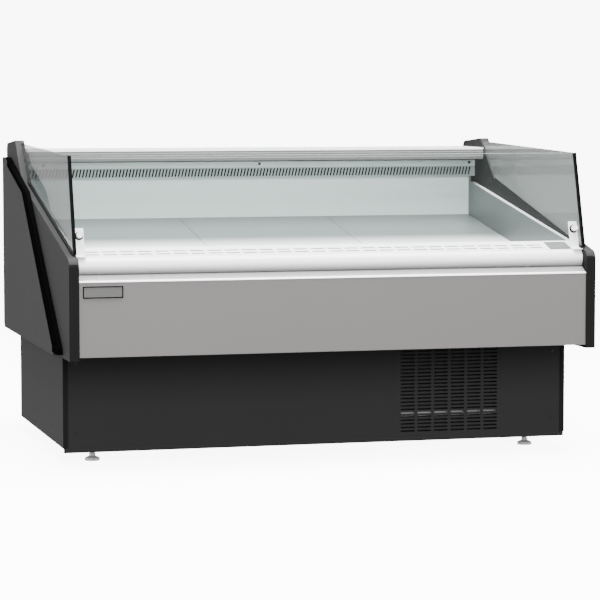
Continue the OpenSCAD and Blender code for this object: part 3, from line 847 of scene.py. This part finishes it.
@dataclass
class Beads:
    """Long thin trims: rail bands, pane gaskets, panel cap, rear stiffeners and the unit's brace."""

    def build(self) -> None:
        """Makes each trim."""
        self._rail_bands()
        self._panel_cap()
        self._pane_gaskets()
        self._rear_stiffeners()
        self._unit_brace()
        self._slot_shade_sheets()
        self._badge_shadow_border()
        self._rail_shadow_strip()

    def _badge_shadow_border(self) -> None:
        """Dark raised border round the blank badge: painted shadow along its edge."""
        low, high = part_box("badge_plate")
        middle, size = (low + high) / 2, high - low
        width, front = 0.0028, low.y - 0.0004
        sides = []
        for sign in (-1, 1):
            upright = Vector((middle.x + sign * (size.x - width) / 2, front, middle.z))
            sides.append(bar("side", upright, Vector((width, 0.0016, size.z))))
            level = Vector((middle.x, front, middle.z + sign * (size.z - width) / 2))
            sides.append(bar("side", level, Vector((size.x - 2 * width, 0.0016, width))))
        for side in sides:
            soften(side, 0.0004)
            settle(side)
        finish_piece(join("badge_shadow_border", sides), BLACK_STRIP, "case")

    def _rail_shadow_strip(self) -> None:
        """Black strip under the front edge of the header rail: painted shadow for the dark gap there."""
        low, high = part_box("header_rail")
        size = Vector((high.x - low.x, 0.005, 0.003))
        shadow_strip = bar("header_rail_shadow_strip", Vector((0.0, low.y + 0.002, low.z - 0.0016)), size)
        soften(shadow_strip, 0.0008)
        settle(shadow_strip)
        finish_piece(shadow_strip, BLACK_RUBBER, "case")

    def _slot_shade_sheets(self) -> None:
        """Black sheets under the front air grille and behind the discharge grille: painted shade that darkens
        the slots.
        """
        lip_low, lip_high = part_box("front_air_grille")
        tilt = math.atan2(0.022, 0.080)
        middle = Vector((0.0, (lip_low.y + lip_high.y) / 2, lip_high.z - 0.011 - 0.0027))
        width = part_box("liner_floor")[1].x * 2 - 0.004
        under = bar("return_slot_shade", middle, Vector((width, 0.062, 0.003)), tilt)
        low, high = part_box("discharge_grille")
        behind = bar(
            "discharge_slot_shade",
            Vector((0.0, low.y + 0.0063, (low.z + high.z) / 2 + 0.001)), Vector((width, 0.008, 0.028)),
        )
        for shade_sheet in (under, behind):
            pick_faces(shade_sheet, lambda face: face.area > 0.02)
            bpy.ops.mesh.inset(thickness=0.002)
            leave_edit()
            soften(shade_sheet, 0.0006)
            settle(shade_sheet)
            finish_piece(shade_sheet, SLOT_SHADE, "case")

    def _rail_bands(self) -> None:
        """Raised bands along the header rail, lighter than the rail: painted highlight."""
        low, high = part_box("header_rail")
        width = high.x - low.x
        bands = []
        for height, thick in ((0.881, 0.004), (0.896, 0.005)):
            band = bar("band", Vector((0.0, low.y - 0.0005, height)), Vector((width, 0.003, thick)))
            soften(band, 0.001, 2)
            settle(band)
            bands.append(band)
        finish_piece(join("header_rail_bands", bands), RAIL_BAND_HIGHLIGHT, "case")

    def _panel_cap(self) -> None:
        """Rolled edge along the top of the front panel, in white: the edge is real, its brightness is painted
        highlight.
        """
        low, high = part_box("front_panel")
        size = Vector((high.x - low.x, 0.005, 0.004))
        cap = bar("front_panel_cap", Vector((0.0, low.y + 0.001, high.z - 0.001)), size)
        soften(cap, 0.002, 3)
        settle(cap)
        finish_piece(cap, WHITE_COAT, "case")

    def _pane_gaskets(self) -> None:
        """Rubber lips where each end pane enters its frame."""
        slope = math.radians(12.77)
        start, end = Vector((0.0, -0.540, 0.6272)), Vector((0.0, 0.259, 0.8083))
        for side, sign in (("left", -1), ("right", 1)):
            low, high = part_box(f"end_glass_{side}")
            middle = (low.x + high.x) / 2
            lips = []
            for offset in (-0.0042, 0.0042):
                centre = (start + end) / 2 + Vector((middle + offset, 0.0, 0.0))
                lip = bar("lip", centre, Vector((0.0022, (end - start).length, 0.005)), slope)
                soften(lip, 0.0008)
                settle(lip)
                lips.append(lip)
            gasket = join(f"pane_gasket_{side}", lips)
            finish_piece(gasket, BLACK_RUBBER, "case")

    def _rear_stiffeners(self) -> None:
        """Pressed stiffening beads across the rear panel."""
        low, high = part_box("rear_panel")
        beads = []
        for share in (0.3, 0.7):
            height = low.z + (high.z - low.z) * share
            bead = bar("bead", Vector((0.0, high.y, height)), Vector((high.x * 1.8, 0.003, 0.022)))
            soften(bead, 0.0014, 3)
            settle(bead)
            beads.append(bead)
        finish_piece(join("rear_panel_beads", beads), PANEL_COAT, "case")

    def _unit_brace(self) -> None:
        """Light brace across the front of the condensing unit, seen through the kick grille."""
        low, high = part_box("condenser_coil")
        centre = Vector(((low.x + high.x) / 2, low.y - 0.006, 0.117))
        brace = bar("condenser_brace", centre, Vector((high.x - low.x, 0.004, 0.018)))
        soften(brace, 0.0012)
        settle(brace)
        finish_piece(brace, ZINC, "case")


@dataclass
class Studio:
    """Camera, soft lights and the pale floor."""

    eye: tuple[float, float, float] = (-2.063, -7.876, 1.102)
    yaw: float = 14.93
    pitch: float = -4.633
    lens: float = 155.67
    ambient: float = 0.9
    paper_glow: float = 8.0

    def build(self) -> None:
        """Sets the camera first, then the floor and lights."""
        bpy.ops.object.camera_add(
            location=self.eye, rotation=(math.radians(90 + self.pitch), 0.0, math.radians(-self.yaw))
        )
        camera = bpy.context.object
        camera.data.lens = self.lens
        camera.data.sensor_width = 36.0
        bpy.context.scene.camera = camera
        self._floor()
        self._light("top_light", (0.0, -0.4, 4.2), (0.0, 0.0, 0.0), 4.0, 950.0)
        self._light("left_light", (-4.6, -0.6, 1.6), (0.0, -75.0, 0.0), 3.0, 75.0)
        self._light("right_light", (4.6, -1.2, 1.8), (0.0, 75.0, 0.0), 3.0, 60.0)
        self._light("front_light", (-0.6, -5.5, 2.6), (66.0, 0.0, -6.0), 3.0, 430.0)
        world = bpy.data.worlds.new("studio")
        world.use_nodes = True
        world.node_tree.nodes["Background"].inputs["Color"].default_value = (1.0, 1.0, 1.0, 1.0)
        world.node_tree.nodes["Background"].inputs["Strength"].default_value = self.ambient
        bpy.context.scene.world = world

    def _floor(self) -> None:
        """A plain pale floor and the paper dome behind it, lit apart from the case."""
        paper = Sheet("studio_paper")
        paper.set(Base_Color=(0.95, 0.95, 0.95, 1.0), Roughness=0.9, Emission_Color=(1.0, 1.0, 1.0, 1.0))
        paper.set(Emission_Strength=self.paper_glow)
        deselect()
        bpy.ops.mesh.primitive_plane_add(size=60.0)
        floor = bpy.context.object
        floor.name = "studio_floor"
        bpy.ops.mesh.primitive_uv_sphere_add(radius=29.0, segments=48, ring_count=24)
        dome = bpy.context.object
        dome.name = "studio_dome"
        for stage_piece in (floor, dome):
            stage_piece.data.materials.append(paper.material)
            stage_piece.visible_diffuse = False
            stage_piece.visible_glossy = False
            stage_piece.visible_shadow = False

    def _light(self, name: str, place: Colour, turn: Colour, size: float, power: float) -> None:
        """One square soft light, turned in degrees."""
        rotation = [math.radians(angle) for angle in turn]
        bpy.ops.object.light_add(type="AREA", location=place, rotation=rotation)
        light = bpy.context.object
        light.name = name
        light.data.size = size
        light.data.energy = power
        light.visible_glossy = name != "front_light"


def main() -> None:
    """Builds the studio and then each sub-assembly in order."""
    logging.basicConfig(level=logging.INFO, format="%(name)s: %(message)s")
    for assembly in (Studio(), Carried(), EdgeStrips(), ClampKnobs(), Screws(), Beads()):
        log.info("building %s", type(assembly).__name__)
        assembly.build()
    deselect()


if __name__ == "__main__":
    main()
